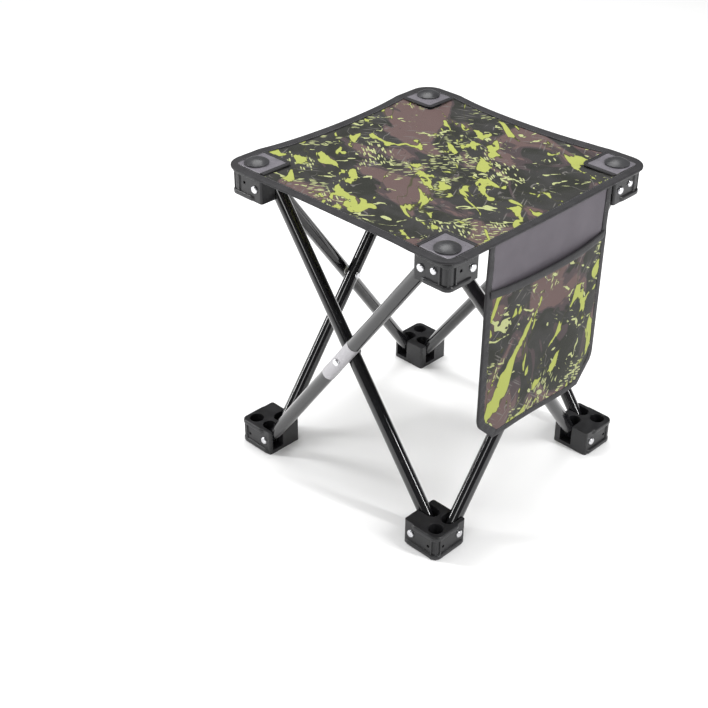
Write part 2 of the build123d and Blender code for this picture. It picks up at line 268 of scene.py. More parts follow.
@dataclass(frozen=True)
class MouldedPlastic:
    """Satin black injection-moulded plastic, paler where its edges have rubbed."""

    name: str
    colour: Point = (0.011, 0.011, 0.012)
    worn: Point = (0.035, 0.035, 0.037)
    roughness: float = 0.34
    edge: float = 1.1 * MM

    def build(self) -> bpy.types.Material:
        """The material."""
        g = Graph(self.name, self.roughness)
        place = g.solid_place()
        rounded = g.add("Bevel", {"Radius": self.edge}, samples=4).outputs[0]
        normal = g.add("NewGeometry").outputs["Normal"]
        facing = g.add("VectorMath", {0: rounded, 1: normal}, operation="DOT_PRODUCT").outputs["Value"]
        rubbed = g.maths("MULTIPLY", g.step(facing, 0.995, 0.9), g.step(g.noise(place, 160, 4), 0.42, 0.62))
        paler = tuple(1.7 * c for c in self.colour)
        mottle = g.mix(g.step(g.noise(place, 45, 3), 0.35, 0.65), self.colour, paler)
        grain = g.noise(place, 2600, 2)
        spread = (self.roughness - 0.07, self.roughness + 0.1)
        rough = g.ranged(g.noise(place, 90, 4), (0.3, 0.7), spread)
        return g.done({
            "Base Color": g.mix(rubbed, mottle, self.worn),
            "Roughness": rough,
            "Normal": g.bump(grain, 0.04 * MM, 0.5, rounded),
            "Specular IOR Level": 0.45,
        })


@dataclass(frozen=True)
class PaintedTube:
    """Gloss black powder coat on steel tube, with faint orange peel and fine scuffs."""

    name: str
    colour: Point = (0.005, 0.005, 0.006)
    roughness: float = 0.12

    def build(self) -> bpy.types.Material:
        """The material."""
        g = Graph(self.name, self.roughness)
        place = g.solid_place()
        peel = g.noise(place, 120, 1)
        scuffs = g.step(g.noise(g.turned(place, 20, (1, 1, 0.15)), 260, 5), 0.62, 0.75)
        spread = (self.roughness - 0.03, self.roughness + 0.07)
        rough = g.ranged(g.noise(place, 60, 4), (0.35, 0.65), spread)
        return g.done({
            "Base Color": g.mix(scuffs, self.colour, (0.02, 0.02, 0.021)),
            "Roughness": rough,
            "Normal": g.bump(peel, 0.03 * MM, 0.12),
            "Specular IOR Level": 0.5,
            "Coat Weight": 0.6,
            "Coat Roughness": 0.03,
        })


@dataclass(frozen=True)
class ZincPlate:
    """Bright zinc on rivets and pins, with a few dull spots."""

    name: str
    colour: Point = (0.74, 0.74, 0.76)
    roughness: float = 0.28

    def build(self) -> bpy.types.Material:
        """The material."""
        g = Graph(self.name, self.roughness, metallic=1.0)
        place = g.solid_place()
        dull = g.step(g.noise(place, 700, 4), 0.52, 0.72)
        rough = g.ranged(dull, (0.0, 1.0), (self.roughness, 0.5))
        return g.done({
            "Base Color": g.mix(dull, self.colour, (0.52, 0.53, 0.55)),
            "Roughness": rough,
            "Normal": g.bump(g.noise(place, 1500, 3), 0.05 * MM, 0.3),
        })


@dataclass(frozen=True)
class WasherNylon:
    """Natural nylon of the washers between crossing tubes."""

    name: str
    colour: Point = (0.46, 0.45, 0.42)

    def build(self) -> bpy.types.Material:
        """The material."""
        g = Graph(self.name, 0.45)
        place = g.solid_place()
        return g.done({
            "Base Color": g.clouded(place, 300, 3, self.colour, 0.8),
            "Normal": g.bump(g.noise(place, 900, 2), 0.05 * MM, 0.4),
            "Subsurface Weight": 0.1,
            "Subsurface Scale": 1 * MM,
        })


@dataclass(frozen=True)
class LabelFoil:
    """Plain brushed foil label, lightly creased."""

    name: str
    colour: Point = (0.47, 0.46, 0.48)

    def build(self) -> bpy.types.Material:
        """The material."""
        g = Graph(self.name, 0.38, metallic=0.55)
        place = g.solid_place()
        brushed = g.noise(g.turned(place, 54, (1, 1, 14)), 180, 4)
        creased = g.step(g.noise(place, 130, 3, 1.0), 0.6, 0.68)
        colour = g.mix(g.step(brushed, 0.3, 0.7), self.colour, tuple(0.86 * c for c in self.colour))
        height = g.maths("ADD", g.maths("MULTIPLY", brushed, 0.3), creased)
        return g.done({
            "Base Color": g.mix(g.maths("MULTIPLY", creased, 0.3), colour, (0.75, 0.75, 0.76)),
            "Normal": g.bump(height, 0.1 * MM, 0.35),
        })


@dataclass(frozen=True)
class PrintedCanvas:
    """Woven polyester with a woodland print: brown patches, lime splashes, dashes and pale scratches."""

    name: str
    ground: Point = (0.0125, 0.0135, 0.0085)
    shade: Point = (0.028, 0.027, 0.026)
    halo: Point = (0.040, 0.042, 0.008)
    brown: Point = (0.105, 0.064, 0.060)
    dark_brown: Point = (0.052, 0.036, 0.038)
    lime: Point = (0.34, 0.375, 0.080)
    pale: Point = (0.40, 0.43, 0.19)
    line: Point = (0.15, 0.14, 0.13)
    turn: float = 0.0
    draw: float = 0.0

    def streaks(self, g: Graph, place: bpy.types.NodeSocket, degrees: float, pitch: Plan, size: Plan,
                offset: float) -> bpy.types.NodeSocket:
        """A mask of short strokes, one to a cell.

        Args:
            g: the material's nodes.
            place: the place on the cloth.
            degrees: the direction of the strokes.
            pitch: cells in a metre, along and across.
            size: how far a stroke is solid and where it has faded out, as distances in cells.
            offset: another draw.

        Returns:
            The mask.
        """
        moved = g.add("Mapping", {"Vector": place, "Location": (offset, 2 * offset, 0)}).outputs[0]
        cells = g.turned(moved, degrees, (pitch[0], pitch[1], 1))
        inputs = {"Vector": cells, "Scale": 1.0, "Randomness": 0.95}
        dots = g.add("TexVoronoi", inputs, voronoi_dimensions="2D")
        chosen = g.step(dots.outputs["Color"], 0.45, 0.5)
        return g.maths("MULTIPLY", g.step(dots.outputs["Distance"], size[1], size[0]), chosen)

    def strokes(self, g: Graph, place: bpy.types.NodeSocket, scale: float, low: float, width: float,
                offset: float) -> bpy.types.NodeSocket:
        """How far inside a brush stroke a place is: strokes wander, swell, split and end.

        Args:
            g: the material's nodes.
            place: the place on the cloth.
            scale: strokes in a metre.
            low: how rare they are, as the least noise that carries one.
            width: how wide they get.
            offset: another draw.

        Returns:
            Above 0 inside a stroke.
        """
        course = g.noise(place, scale, 2.5, 0.5, offset)
        away = g.maths("ABSOLUTE", g.maths("SUBTRACT", course, 0.5))
        swell = g.noise(place, 1.9 * scale, 3.0, 1.2, offset + 1.3)
        reach = g.ranged(swell, (low, low + 0.17), (-0.004, width))
        return g.maths("SUBTRACT", reach, away)

    def build(self) -> bpy.types.Material:
        """The material."""
        g = Graph(self.name, 0.62)
        flat = g.flat_place()
        drawn = g.add("Mapping", {"Vector": flat, "Location": (self.draw, self.draw, 0)}).outputs[0]
        place = g.turned(drawn, self.turn, (1, 1, 1))
        colour = g.mix(g.step(g.noise(place, 22, 3, 0.6), 0.42, 0.62), self.ground, self.shade)
        patches = g.noise(g.turned(place, 24, (0.8, 1.35, 1)), 10.5, 4, 0.9)
        colour = g.mix(g.step(patches, 0.495, 0.505), colour, self.dark_brown)
        colour = g.mix(g.step(patches, 0.53, 0.538), colour, self.brown)
        for degrees, offset in ((63, 0.4), (-32, 2.7)):
            hatch = self.streaks(g, place, degrees, (17, 210), (0.1, 0.2), offset)
            hatched = g.maths("MULTIPLY", hatch, g.step(g.noise(place, 12, 1, 0, offset), 0.55, 0.58))
            colour = g.mix(g.maths("MULTIPLY", hatched, 0.7), colour, self.line)
        web = self.strokes(g, place, 21, 0.40, 0.006, 4.1)
        colour = g.mix(g.maths("MULTIPLY", g.step(web, 0.0, 0.003), 0.8), colour, self.line)
        for degrees, pitch, offset in ((35, (75, 330), 0.3), (-48, (85, 300), 0.9)):
            dashes = self.streaks(g, place, degrees, pitch, (0.26, 0.36), offset)
            cluster = g.step(g.noise(place, 13, 1, 0.4, offset), 0.59, 0.62)
            colour = g.mix(g.maths("MULTIPLY", dashes, cluster), colour, self.pale)
        twigs = self.strokes(g, g.turned(place, -35, (0.8, 1.2, 1)), 24, 0.50, 0.028, 2.2)
        colour = g.mix(g.step(twigs, -0.004, -0.001), colour, self.ground)
        colour = g.mix(g.step(twigs, 0.0, 0.003), colour, self.pale)
        splash = self.strokes(g, g.turned(place, 38, (0.7, 1.35, 1)), 13.5, 0.49, 0.062, 0.7)
        colour = g.mix(g.step(splash, -0.010, -0.004), colour, self.halo)
        colour = g.mix(g.step(splash, 0.0, 0.004), colour, self.lime)
        faded = g.step(g.noise(place, 30, 4, 0, 5.0), 0.3, 0.75)
        colour = g.mix(g.maths("MULTIPLY", faded, 0.07), colour, (0.12, 0.12, 0.12))
        weave = g.weave(flat, 0.9 * MM)
        colour = g.mix(g.maths("MULTIPLY", weave, 0.22), colour, (0.0, 0.0, 0.0))
        slub = g.noise(g.turned(flat, 0, (0.1, 1, 1)), 900, 2)
        height = g.maths("ADD", weave, g.maths("MULTIPLY", slub, 0.4))
        return g.done({
            "Base Color": colour,
            "Normal": g.bump(height, 0.12 * MM, 0.6),
            "Sheen Weight": 0.04,
            "Sheen Roughness": 0.5,
            "Specular IOR Level": 0.25,
        })


@dataclass(frozen=True)
class EdgeTape:
    """Ribbed polyester binding tape."""

    name: str
    colour: Point = (0.014, 0.013, 0.015)
    light: Point = (0.027, 0.026, 0.029)

    def build(self) -> bpy.types.Material:
        """The material."""
        g = Graph(self.name, 0.6)
        flat = g.flat_place()
        ribs = g.weave(flat, 0.9 * MM)
        cloud = g.step(g.noise(flat, 70, 4), 0.3, 0.72)
        plain = g.mix(cloud, self.colour, self.light)
        return g.done({
            "Base Color": g.mix(g.maths("MULTIPLY", ribs, 0.35), plain, (0, 0, 0)),
            "Normal": g.bump(g.maths("ADD", ribs, g.noise(flat, 220, 3)), 0.16 * MM, 0.6),
            "Sheen Weight": 0.04,
            "Sheen Roughness": 0.45,
            "Specular IOR Level": 0.4,
        })


@dataclass(frozen=True)
class PocketLining:
    """Plain grey woven lining of the pocket."""

    name: str
    colour: Point = (0.098, 0.088, 0.102)

    def build(self) -> bpy.types.Material:
        """The material."""
        g = Graph(self.name, 0.7)
        flat = g.flat_place()
        weave = g.weave(flat, 0.7 * MM)
        plain = g.clouded(flat, 40, 4, self.colour, 1.18)
        return g.done({
            "Base Color": g.mix(g.maths("MULTIPLY", weave, 0.3), plain, (0.02, 0.02, 0.02)),
            "Normal": g.bump(weave, 0.14 * MM, 0.6),
            "Sheen Weight": 0.05,
            "Sheen Roughness": 0.5,
            "Specular IOR Level": 0.3,
        })


@dataclass(frozen=True)
class PatchVinyl:
    """Smooth grey coated cloth of the corner patches."""

    name: str
    colour: Point = (0.125, 0.118, 0.132)

    def build(self) -> bpy.types.Material:
        """The material."""
        g = Graph(self.name, 0.34)
        place = g.solid_place()
        creases = g.noise(place, 140, 4, 0.6)
        rough = g.ranged(creases, (0.3, 0.7), (0.2, 0.36))
        return g.done({
            "Base Color": g.clouded(place, 60, 3, self.colour, 1.35),
            "Roughness": rough,
            "Normal": g.bump(creases, 0.35 * MM, 0.35),
        })


@dataclass(frozen=True)
class SewingThread:
    """Twisted polyester thread."""

    name: str
    colour: Point = (0.045, 0.045, 0.048)

    def build(self) -> bpy.types.Material:
        """The material."""
        g = Graph(self.name, 0.5)
        place = g.solid_place()
        twist = g.noise(place, 2500, 2)
        return g.done({
            "Base Color": g.mix(g.step(twist, 0.3, 0.7), self.colour, tuple(1.8 * c for c in self.colour)),
            "Normal": g.bump(twist, 0.08 * MM, 0.5),
            "Sheen Weight": 0.2,
        })


class Slot(Enum):
    """The record's material slots."""

    MOULDING = "moulded_plastic"
    CAP = "cap_plastic"
    TUBE = "painted_tube"
    ZINC = "zinc_pins"
    WASHER = "washer_plastic"
    LABEL = "label_foil"
    CANVAS = "printed_canvas"
    TAPE = "edge_tape"
    PATCH = "patch_vinyl"
    LINING = "pocket_lining"


@dataclass
class Finishes:
    """Every material of the stool, made once."""

    made: dict[str, bpy.types.Material] = field(default_factory=dict)

    def get(self, finish: object) -> bpy.types.Material:
        """The material of a finish, built the first time that it is asked for."""
        if finish.name not in self.made:
            self.made[finish.name] = finish.build()
        return self.made[finish.name]


FINISHES = Finishes()
SLOT_FINISH = {
    Slot.MOULDING: MouldedPlastic("moulded_plastic"),
    Slot.CAP: MouldedPlastic("cap_plastic", (0.030, 0.030, 0.032), (0.09, 0.09, 0.095), 0.33, 0.3 * MM),
    Slot.TUBE: PaintedTube("painted_tube"),
    Slot.ZINC: ZincPlate("zinc_pins"),
    Slot.WASHER: WasherNylon("washer_nylon"),
    Slot.LABEL: LabelFoil("label_foil"),
    Slot.CANVAS: PrintedCanvas("printed_canvas"),
    Slot.TAPE: EdgeTape("edge_tape"),
    Slot.PATCH: PatchVinyl("patch_vinyl"),
    Slot.LINING: PocketLining("pocket_lining"),
}
POCKET_CANVAS = PrintedCanvas("pocket_canvas", turn=71.0, draw=0.37)
THREAD = SewingThread("sewing_thread")


# ---------------------------------------------------------------- meshes


@dataclass
class Mesh:
    """Points, faces and places on the flat cloth of a piece that is being made."""

    points: list[Point] = field(default_factory=list)
    faces: list[tuple[int, ...]] = field(default_factory=list)
    flat: list[Plan] = field(default_factory=list)
    shifts: list[tuple[Point, Point]] = field(default_factory=list)

    def grid(self, rows: Sequence[Sequence[tuple]], closed: bool = False) -> None:
        """Adds a grid of quads.

        Args:
            rows: rows of (point, flat place, shifts), all of one length.
            closed: joins the last row to the first.
        """
        start, width = len(self.points), len(rows[0])
        for row in rows:
            for point, place, shift in row:
                self.points.append(tuple(point))
                self.flat.append(place)
                self.shifts.append(shift)
        for r in range(len(rows) if closed else len(rows) - 1):
            low, high = start + r * width, start + ((r + 1) % len(rows)) * width
            for c in range(width - 1):
                self.faces.append((low + c, low + c + 1, high + c + 1, high + c))

    def build(self, name: str, material: bpy.types.Material) -> bpy.types.Object:
        """Makes the object, smooth shaded.

        Args:
            name: the piece's name.
            material: its material.

        Returns:
            The object, in the scene.
        """
        data = bpy.data.meshes.new(name)
        data.from_pydata(self.points, [], self.faces)
        layer = data.uv_layers.new(name="flat")
        for loop in data.loops:
            layer.data[loop.index].uv = self.flat[loop.vertex_index]
        for key, index in (("gather", 0), ("drape", 1)):
            attribute = data.attributes.new(key, "FLOAT_VECTOR", "POINT")
            attribute.data.foreach_set("vector", [v for s in self.shifts for v in s[index]])
        data.polygons.foreach_set("use_smooth", [True] * len(data.polygons))
        data.materials.append(material)
        data.update()
        made = bpy.data.objects.new(name, data)
        bpy.context.scene.collection.objects.link(made)
        return made


NO_SHIFT = ((0.0, 0.0, 0.0), (0.0, 0.0, 0.0))


def stitch(mesh: Mesh, centre: Vector, along: Vector, up: Vector, length: float, radius: float,
           shift: tuple[Point, Point]) -> None:
    """Adds one stitch, a short rounded thread.

    Args:
        mesh: what it is added to.
        centre: its middle.
        along: its direction.
        up: away from the cloth.
        length: its length.
        radius: its thickest radius.
        shift: its shifts as the stool folds.
    """
    sides = 6
    across = along.cross(up).normalized()
    rows = []
    for place, size in ((-0.5, 0.15), (-0.36, 0.8), (0.0, 1.0), (0.36, 0.8), (0.5, 0.15)):
        sunk = -0.9 * radius * (abs(place) * 2) ** 2
        ring = []
        for k in range(sides + 1):
            angle = 2 * math.pi * k / sides
            side = across * (math.cos(angle) * radius * size)
            side += up * (math.sin(angle) * radius * size + sunk)
            point = centre + along * (place * length) + side
            ring.append((tuple(point), (place * length, k * radius), shift))
        rows.append(ring)
    mesh.grid(rows)


@dataclass(frozen=True)
class Sewing:
    """A lockstitch seam."""

    radius: float
    pitch: float = 3.4 * MM
    length: float = 2.5 * MM

    def run(self, mesh: Mesh, line: Sequence[tuple[Vector, Vector, tuple]]) -> None:
        """Adds a row of stitches along a line.

        Args:
            mesh: what they are added to.
            line: points along it, each with the direction away from the cloth and the shifts there.
        """
        travelled = 0.0
        for (a, up, shift), (b, _, _) in zip(line, line[1:]):
            run = (b - a).length
            while travelled < run and run > 0:
                centre = a.lerp(b, travelled / run)
                stitch(mesh, centre, (b - a).normalized(), up, self.length, self.radius, shift)
                travelled += self.pitch
            travelled -= run


@dataclass
class FoldFollower:
    """Moves cloth as the hubs draw together, by two shifts that each point of it carries."""

    travel: float
    groups: dict[str, bpy.types.NodeTree] = field(default_factory=dict)

    def group(self, body: str) -> bpy.types.NodeTree:
        """The nodes for cloth on one body.

        The share of the fold is the distance from the seat's body to a hub's, against its travel. The first
        shift is in the stool's frame, whichever way the body has turned, and the second turns with the body.

        Args:
            body: the body that the cloth rides on.

        Returns:
            The node group.
        """
        if body in self.groups:
            return self.groups[body]
        tree = bpy.data.node_groups.new("fold_" + body, "GeometryNodeTree")
        tree.interface.new_socket("Geometry", in_out="INPUT", socket_type="NodeSocketGeometry")
        tree.interface.new_socket("Geometry", in_out="OUTPUT", socket_type="NodeSocketGeometry")
        nodes, links = tree.nodes, tree.links
        start, end = nodes.new("NodeGroupInput"), nodes.new("NodeGroupOutput")
        places = {}
        for name in ("seat", "hub_front_right", body):
            if name not in places:
                info = nodes.new("GeometryNodeObjectInfo")
                info.inputs["Object"].default_value = frame["bodies"][name]
                places[name] = info
        apart = nodes.new("ShaderNodeVectorMath")
        apart.operation = "SUBTRACT"
        links.new(places["seat"].outputs["Location"], apart.inputs[0])
        links.new(places["hub_front_right"].outputs["Location"], apart.inputs[1])
        parts = nodes.new("ShaderNodeSeparateXYZ")
        links.new(apart.outputs[0], parts.inputs[0])
        share = nodes.new("ShaderNodeMath")
        share.operation = "DIVIDE"
        share.inputs[1].default_value = self.travel
        links.new(parts.outputs["X"], share.inputs[0])
        shifts = {}
        for key in ("gather", "drape"):
            read = nodes.new("GeometryNodeInputNamedAttribute")
            read.data_type = "FLOAT_VECTOR"
            read.inputs["Name"].default_value = key
            shifts[key] = read.outputs["Attribute"]
        back = nodes.new("FunctionNodeInvertRotation")
        links.new(places[body].outputs["Rotation"], back.inputs[0])
        turned = nodes.new("FunctionNodeRotateVector")
        links.new(shifts["gather"], turned.inputs["Vector"])
        links.new(back.outputs[0], turned.inputs["Rotation"])
        total = nodes.new("ShaderNodeVectorMath")
        total.operation = "ADD"
        links.new(turned.outputs[0], total.inputs[0])
        links.new(shifts["drape"], total.inputs[1])
        scaled = nodes.new("ShaderNodeVectorMath")
        scaled.operation = "SCALE"
        links.new(total.outputs[0], scaled.inputs[0])
        links.new(share.outputs[0], scaled.inputs["Scale"])
        move = nodes.new("GeometryNodeSetPosition")
        links.new(start.outputs[0], move.inputs["Geometry"])
        links.new(scaled.outputs[0], move.inputs["Offset"])
        links.new(move.outputs[0], end.inputs[0])
        self.groups[body] = tree
        return tree

    def attach(self, piece: bpy.types.Object, body: str, thickness: float = 0.0) -> bpy.types.Object:
        """Makes a piece ride on a body and follow the fold.

        Args:
            piece: the piece.
            body: its body.
            thickness: of the cloth, where the piece is made as a single face.

        Returns:
            The piece.
        """
        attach(piece, body)
        piece.modifiers.new("fold", "NODES").node_group = self.group(body)
        if thickness:
            solid = piece.modifiers.new("cloth", "SOLIDIFY")
            solid.thickness = thickness
            solid.offset = -1.0
        return piece


# ---------------------------------------------------------------- frame of the stool


@dataclass
class LegFrame:
    """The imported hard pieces, each given its finish."""

    by_prefix: tuple[tuple[str, Slot], ...] = (
        ("foot_pins_", Slot.ZINC),
        ("hub_pins_", Slot.ZINC),
        ("post_rivet_", Slot.ZINC),
        ("crossing_rivet_", Slot.ZINC),
        ("crossing_washer_", Slot.WASHER),
        ("foot_", Slot.MOULDING),
        ("hub_", Slot.MOULDING),
        ("cap_", Slot.CAP),
        ("tube_label", Slot.LABEL),
        ("tube_", Slot.TUBE),
    )

    def dress(self) -> None:
        """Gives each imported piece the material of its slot."""
        for name, node in sorted(frame["nodes"].items()):
            slot = next((s for prefix, s in self.by_prefix if name.startswith(prefix)), None)
            if slot is None:
                continue
            node.data.materials.clear()
            node.data.materials.append(FINISHES.get(SLOT_FINISH[slot]))
        LOG.info("frame dressed")


# ---------------------------------------------------------------- seat


@dataclass
class Crumple:
    """How a width of cloth between two hubs gathers as they meet: it rises in one soft fold."""

    free: float
    travel: float
    rise: float = 78 * MM
    bulge: float = 15 * MM

    def along(self, place: float) -> float:
        """Where a place across the cloth comes to lie."""
        if abs(place) >= self.free:
            return place - math.copysign(self.travel, place)
        t = place / self.free
        gap = self.free - self.travel
        above = smooth(1 - abs(t), 0.03, 0.4)
        return gap * t + self.bulge * above * math.sin(math.pi * t) * (1 - 0.35 * math.cos(math.pi * t))

    def height(self, place: float) -> float:
        """How high it rises, from 0 at a hub to 1 midway."""
        if abs(place) >= self.free:
            return 0.0
        return math.cos(math.pi * place / self.free / 2)


@dataclass
class Seat:
    """The printed seat: cloth, edge tape, corner patches and their sewing."""

    crumple: Crumple
    follower: FoldFollower
    cells: int = 132
    corner_r: float = 24 * MM
    thickness: float = 1.1 * MM
    sag: float = 7.2 * MM
    edge_droop: float = 2.6 * MM
    bow: float = 5.5 * MM
    pocket_bow: float = 2.2 * MM
    tape_width: float = 12 * MM
    tape_cloth: float = 0.3 * MM
    seam: Sewing = Sewing(0.3 * MM)
    seam_inset: float = 1.7 * MM
    cloth_inset: float = 1.2 * MM
    flutter: Plan = (5 * MM, 3 * MM)
    shoulder: float = 9 * MM
    patch_width: float = 43.2 * MM
    patch_cells: int = 26
    patch_round: float = 4 * MM
    patch_pillow: float = 0.55 * MM
    patch_cloth: float = 0.5 * MM
    edging_width: float = 5.5 * MM
    half: float = 0.0
    top: float = 0.0
    inboard: float = 0.0

    def __post_init__(self) -> None:
        """Reads the seat's size and place from the frame."""
        low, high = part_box("seat_binding")
        self.half = high.x
        self.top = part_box("seat_fabric")[1].z
        self.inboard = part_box("hub_front_right")[0].x

    def surface(self, x: float, y: float) -> Vector:
        """Where a place of the flat seat lies when the stool is open.

        Args:
            x: across the flat seat.
            y: along it.

        Returns:
            The point on its upper face.
        """
        a, b = x / self.half, y / self.half
        free_x, free_y = (max(0.0, 1 - (v / self.inboard) ** 2) for v in (x, y))
        bow_x = self.pocket_bow if x > 0 else self.bow
        moved_x = x * (1 - bow_x / self.half * free_y**0.9 * smooth(abs(a), 0.2, 1))
        moved_y = y * (1 - self.bow / self.half * free_x**0.9 * smooth(abs(b), 0.2, 1))
        bowl = max(0.0, (1 - a * a) * (1 - b * b))
        drop = self.sag * bowl**0.75
        drop += self.edge_droop * (free_x * smooth(abs(b), 0.3, 1) + free_y * smooth(abs(a), 0.3, 1))
        return Vector((moved_x, moved_y, self.top - drop + self.wrinkles(x, y)))

    def wrinkles(self, x: float, y: float) -> float:
        """Height of the pull lines that run in from the corners, and of the slack between them."""
        height = 0.0
        for number, (sx, sy) in enumerate(CORNERS.values()):
            dx, dy = sx * self.half - x, sy * self.half - y
            away = math.hypot(dx, dy)
            angle = math.atan2(sy * dy, sx * dx)
            spread = smooth(away, 0.055, 0.1) * math.exp(-away / 0.11)
            pull = math.sin(13 * angle + 1.7 * number) + 0.6 * math.sin(23 * angle + 2.3 * number)
            height += 1.5 * MM * spread * pull
        inside = max(0.0, (1 - (x / self.half) ** 2) * (1 - (y / self.half) ** 2))
        slack = math.sin(31 * x + 1.1) * math.sin(27 * y + 0.4) + 0.5 * math.sin(58 * x - 41 * y)
        return height + 0.55 * MM * inside * slack

    def normal(self, x: float, y: float) -> Vector:
        """The seat's upward direction at a place."""
        step = 1.5 * MM
        here = self.surface(x, y)
        across = self.surface(x + step, y) - here
        along = self.surface(x, y + step) - here
        return across.cross(along).normalized()

    def shift(self, x: float, y: float) -> tuple[Point, Point]:
        """How far a place of the seat moves, from the open stool to the folded one."""
        c = self.crumple
        rise_x, rise_y = c.height(x), c.height(y)
        rise = 1 - (1 - rise_x) * (1 - rise_y)
        flutter = self.flutter[0] * rise * math.sin(95 * x + 60 * y)
        flutter += self.flutter[1] * rise * math.sin(140 * y - 70 * x)
        open_place = self.surface(x, y)
        beside_x = self.shoulder * rise_y * (1 - rise_x) * math.copysign(1, x)
        beside_y = self.shoulder * rise_x * (1 - rise_y) * math.copysign(1, y)
        target_x = c.along(x) + flutter * (1 - rise_y) + beside_x
        target_y = c.along(y) + flutter * (1 - rise_x) + beside_y
        up = c.rise * rise * (1 + 0.12 * math.sin(40 * x - 33 * y))
        level = (self.top - open_place.z) * min(1.0, 2 * rise)
        return (target_x - open_place.x, target_y - open_place.y, up + level), (0.0, 0.0, 0.0)

    def rounded(self, a: float, b: float, half: float, radius: float) -> Plan:
        """A place of a square from -1 to 1 moved into a rounded square of a size."""
        x, y = a * half, b * half
        inner = half - radius
        if abs(x) <= inner or abs(y) <= inner:
            return x, y
        u, v = (abs(x) - inner) / radius, (abs(y) - inner) / radius
        u, v = u * math.sqrt(1 - v * v / 2), v * math.sqrt(1 - u * u / 2)
        return math.copysign(inner + radius * u, x), math.copysign(inner + radius * v, y)

    def cloth(self) -> bpy.types.Object:
        """The printed cloth."""
        mesh = Mesh()
        half = self.half - self.cloth_inset
        rows = []
        for j in range(self.cells + 1):
            row = []
            for i in range(self.cells + 1):
                x, y = self.rounded(2 * i / self.cells - 1, 2 * j / self.cells - 1, half, self.corner_r)
                row.append((self.surface(x, y), (x, y), self.shift(x, y)))
            rows.append(row)
        mesh.grid(rows)
        piece = mesh.build("seat_cloth", FINISHES.get(SLOT_FINISH[Slot.CANVAS]))
        self.follower.attach(piece, "seat", self.thickness)
        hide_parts("seat_fabric")
        return piece

    def outline(self, inset: float, steps: int = 72, turns: int = 14) -> list[tuple[Plan, Plan]]:
        """The seat's outline, moved in, as places with the direction outwards at each.

        Args:
            inset: how far in from the edge.
            steps: points on a side.
            turns: points on a corner.

        Returns:
            The places, once round.
        """
        radius = max(self.corner_r + self.cloth_inset - inset, 2 * MM)
        inner = self.half - inset - radius
        places = []
        for quarter in range(4):
            turn = math.pi / 2 * quarter
            c, s = math.cos(turn), math.sin(turn)
            side = [((self.half - inset, -inner + 2 * inner * k / steps), (1.0, 0.0)) for k in range(steps)]
            for k in range(turns):
                angle = math.pi / 2 * k / turns
                out = (math.cos(angle), math.sin(angle))
                side.append(((inner + radius * out[0], inner + radius * out[1]), out))
            for (x, y), (nx, ny) in side:
                places.append(((c * x - s * y, s * x + c * y), (c * nx - s * ny, s * nx + c * ny)))
        return places

    def tape(self) -> bpy.types.Object:
        """The tape folded over the seat's edge."""
        mesh = Mesh()
        width = self.tape_width
        section = ((width, 0.45), (width - 0.3 * MM, 0.95), (width - 1.6 * MM, 0.8), (width - 4 * MM, 1.0),
                   (width / 2, 1.05), (2.5 * MM, 1.15), (0.9 * MM, 1.0), (0.2 * MM, 0.45), (0.0, -0.5),
                   (0.2 * MM, -1.45), (0.9 * MM, -2.0), (2.5 * MM, -2.15), (width / 2, -2.1),
                   (width - 1.6 * MM, -1.9), (width - 0.3 * MM, -2.05), (width, -1.5))
        rims = {inset: self.outline(inset) for inset, _ in section}
        count = len(next(iter(rims.values())))
        rows = []
        travelled = 0.0
        last = None
        for k in range(count + 1):
            row = []
            n = k % count
            pucker = 0.22 * MM * math.sin(travelled / (2.1 * MM))
            pucker += 0.25 * MM * math.sin(travelled / (7.3 * MM))
            for number, (inset, lift) in enumerate(section):
                (x, y), _ = rims[inset][n]
                surface = self.surface(x, y)
                raised = lift * MM + pucker * smooth(inset, width / 2, width) * (1 if lift > 0 else 0)
                point = surface + self.normal(x, y) * raised
                row.append((point, (travelled, number * 1.7 * MM), self.shift(x, y)))
            here = Vector((*rims[width][n][0], 0))
            travelled += (here - last).length if last is not None else 0.0
            last = here
            rows.append(row)
        mesh.grid(rows)
        piece = mesh.build("seat_edge_tape", FINISHES.get(SLOT_FINISH[Slot.TAPE]))
        self.follower.attach(piece, "seat", self.tape_cloth)
        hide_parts("seat_binding")
        return piece

    def sewing(self) -> bpy.types.Object:
        """The stitches along the tape."""
        mesh = Mesh()
        line = []
        for (x, y), _ in self.outline(self.tape_width - self.seam_inset, 90, 10):
            up = self.normal(x, y)
            line.append((self.surface(x, y) + up * 1.0 * MM, up, self.shift(x, y)))
        self.seam.run(mesh, [*line, line[0]])
        piece = mesh.build("seat_stitching", FINISHES.get(THREAD))
        self.follower.attach(piece, "seat")
        return piece

